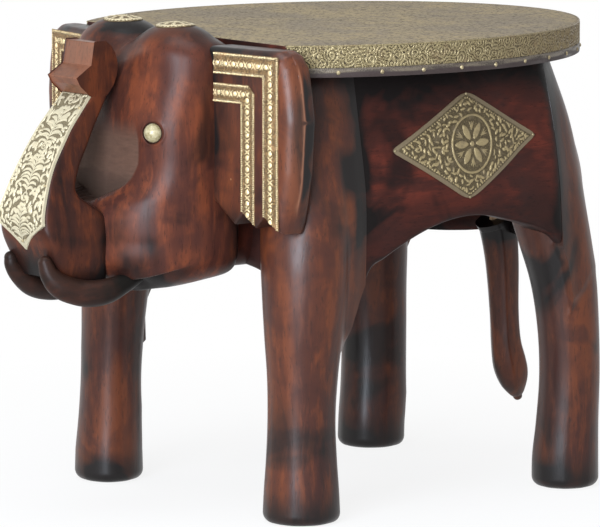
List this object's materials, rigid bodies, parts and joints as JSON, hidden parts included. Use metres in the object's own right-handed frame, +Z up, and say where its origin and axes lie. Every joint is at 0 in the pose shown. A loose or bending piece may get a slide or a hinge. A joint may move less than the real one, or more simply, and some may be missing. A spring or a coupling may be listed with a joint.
{
  "type": "carved elephant stool",
  "caption": "Low wooden stool carved as an elephant with a raised trunk, with an oval brass covered seat and embossed brass trim.",
  "frame": {"origin": "on the floor, under the centre of the stool's bounding box", "axes": "+Z up from the floor, -Y the way the elephant looks, +X towards the elephant's left side"},
  "size_m": [0.3634, 0.5316, 0.3948],
  "materials": {
    "carved_wood": "dark red brown, lacquered",
    "dowel_wood": "plain, unfinished",
    "tusk_wood": "near black, lacquered",
    "aged_brass": "embossed sheet, dark patina in the hollows",
    "bright_brass": "embossed sheet, pale gold on the raised parts",
    "screw_steel": "plain"
  },
  "bodies": {
    "root": {"seat_board": "carved_wood", "leg_front_left": "carved_wood", "leg_front_right": "carved_wood", "leg_hind_left": "carved_wood", "leg_hind_right": "carved_wood", "side_panel_left": "carved_wood", "side_panel_right": "carved_wood", "chest_panel": "carved_wood", "rump_panel": "carved_wood", "neck_block": "carved_wood", "head_block": "carved_wood", "trunk": "carved_wood", "ear_left": "carved_wood", "ear_right": "carved_wood", "tail": "carved_wood", "panel_dowels": "dowel_wood", "tail_dowel": "dowel_wood", "head_dowels": "dowel_wood", "ear_dowels": "dowel_wood", "tusk_left": "tusk_wood", "tusk_right": "tusk_wood", "seat_sheet": "aged_brass", "seat_edge_band": "aged_brass", "seat_edge_trim": "aged_brass", "seat_edge_tacks": "aged_brass", "side_plate_left": "aged_brass", "side_plate_right": "aged_brass", "side_plate_pins": "aged_brass", "ear_outer_strip_left": "bright_brass", "ear_outer_strip_right": "bright_brass", "ear_inner_strip_left": "bright_brass", "ear_inner_strip_right": "bright_brass", "trunk_strip": "bright_brass", "crown_cap_left": "bright_brass", "crown_cap_right": "bright_brass", "eye_left": "bright_brass", "eye_right": "bright_brass", "trim_pins": "bright_brass", "seat_screws": "screw_steel"}
  },
  "joints": []
}
